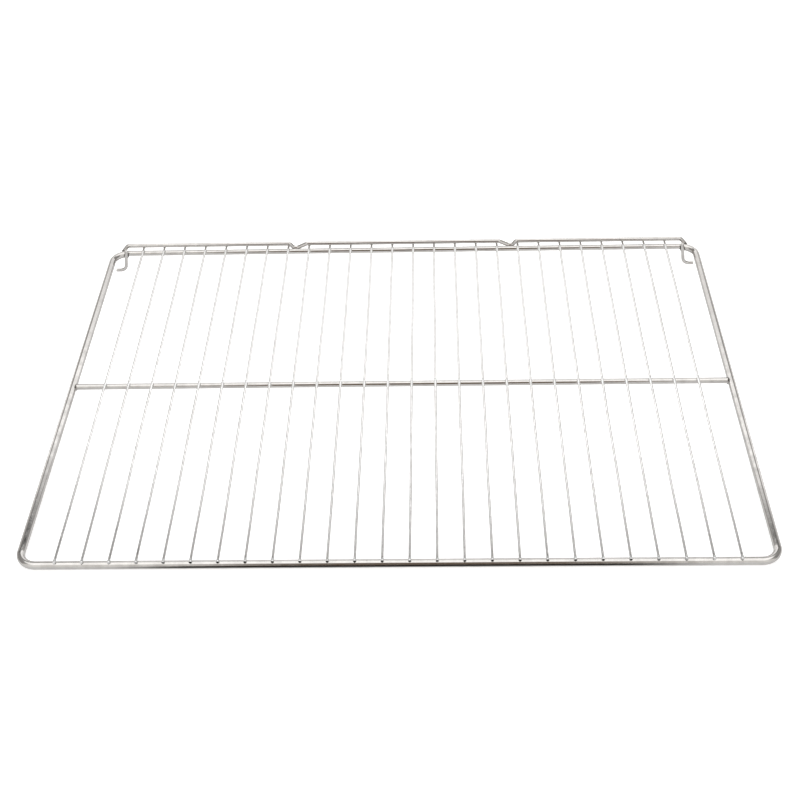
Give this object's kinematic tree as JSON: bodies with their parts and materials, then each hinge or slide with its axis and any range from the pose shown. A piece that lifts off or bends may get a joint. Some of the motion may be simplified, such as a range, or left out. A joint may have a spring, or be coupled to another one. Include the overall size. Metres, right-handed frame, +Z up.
{
  "type": "wire cooling rack",
  "caption": "Flat wire shelf: a round-wire frame carries close parallel thin wires, with a low raised stop along the back and J hooks at the rear corners.",
  "frame": {"origin": "midway between the sides and between front and back, level with the lowest point of the rear hooks", "axes": "+X to the right, +Y from the front edge to the back, +Z up; the wires' plane is level"},
  "size_m": [0.7176, 0.5206, 0.0324],
  "materials": {
    "heavy_wire": "bright nickel-chrome plate over steel wire, with fine drawing lines and weld marks",
    "thin_wire": "bright nickel-chrome plate over thin steel wire, with weld marks at the crossings"
  },
  "bodies": {
    "root": {"frame_wire": "heavy_wire", "rear_rail": "heavy_wire", "mid_crossbar": "heavy_wire", "raised_rear_stop": "heavy_wire", "left_hook": "heavy_wire", "right_hook": "heavy_wire", "grid_wire_01": "thin_wire", "grid_wire_02": "thin_wire", "grid_wire_03": "thin_wire", "grid_wire_04": "thin_wire", "grid_wire_05": "thin_wire", "grid_wire_06": "thin_wire", "grid_wire_07": "thin_wire", "grid_wire_08": "thin_wire", "grid_wire_09": "thin_wire", "grid_wire_10": "thin_wire", "grid_wire_11": "thin_wire", "grid_wire_12": "thin_wire", "grid_wire_13": "thin_wire", "grid_wire_14": "thin_wire", "grid_wire_15": "thin_wire", "grid_wire_16": "thin_wire", "grid_wire_17": "thin_wire", "grid_wire_18": "thin_wire", "grid_wire_19": "thin_wire", "grid_wire_20": "thin_wire", "grid_wire_21": "thin_wire", "grid_wire_22": "thin_wire", "grid_wire_23": "thin_wire", "grid_wire_24": "thin_wire", "grid_wire_25": "thin_wire", "grid_wire_26": "thin_wire"}
  },
  "joints": []
}
